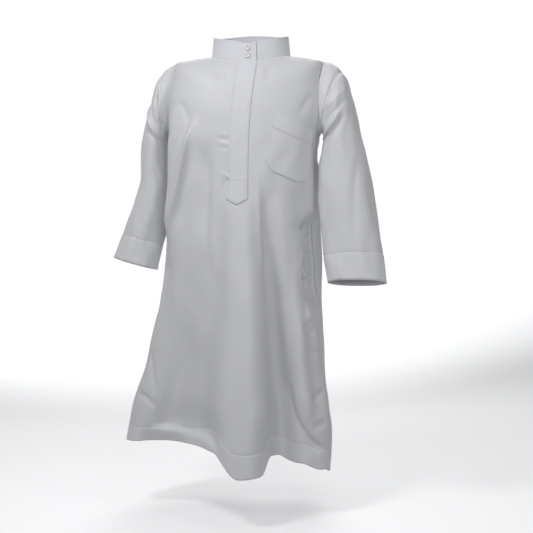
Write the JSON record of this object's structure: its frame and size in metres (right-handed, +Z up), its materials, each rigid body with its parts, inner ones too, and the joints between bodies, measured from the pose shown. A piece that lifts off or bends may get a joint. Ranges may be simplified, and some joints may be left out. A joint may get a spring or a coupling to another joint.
{
  "type": "thobe robe",
  "caption": "White ankle-length robe with long sleeves, stand collar, pointed front placket and a patch chest pocket, open at neck, cuffs and hem.",
  "frame": {"origin": "middle of the neck opening at the height of the shoulders, where the wearer carries the robe", "axes": "+Z up, -Y out of the robe's front, +X towards the wearer's left"},
  "size_m": [0.5215, 0.3079, 0.8284],
  "materials": {
    "white_polyester": "smooth white polyester with a soft sheen",
    "interfaced_cloth": "the same white cloth made firm with interfacing",
    "button_plastic": "glossy white plastic"
  },
  "bodies": {
    "root": {"front": "white_polyester", "back": "white_polyester", "sleeve_left": "white_polyester", "sleeve_right": "white_polyester", "collar": "interfaced_cloth", "placket": "interfaced_cloth", "chest_pocket": "white_polyester", "collar_button_upper": "button_plastic", "collar_button_lower": "button_plastic"}
  },
  "joints": []
}
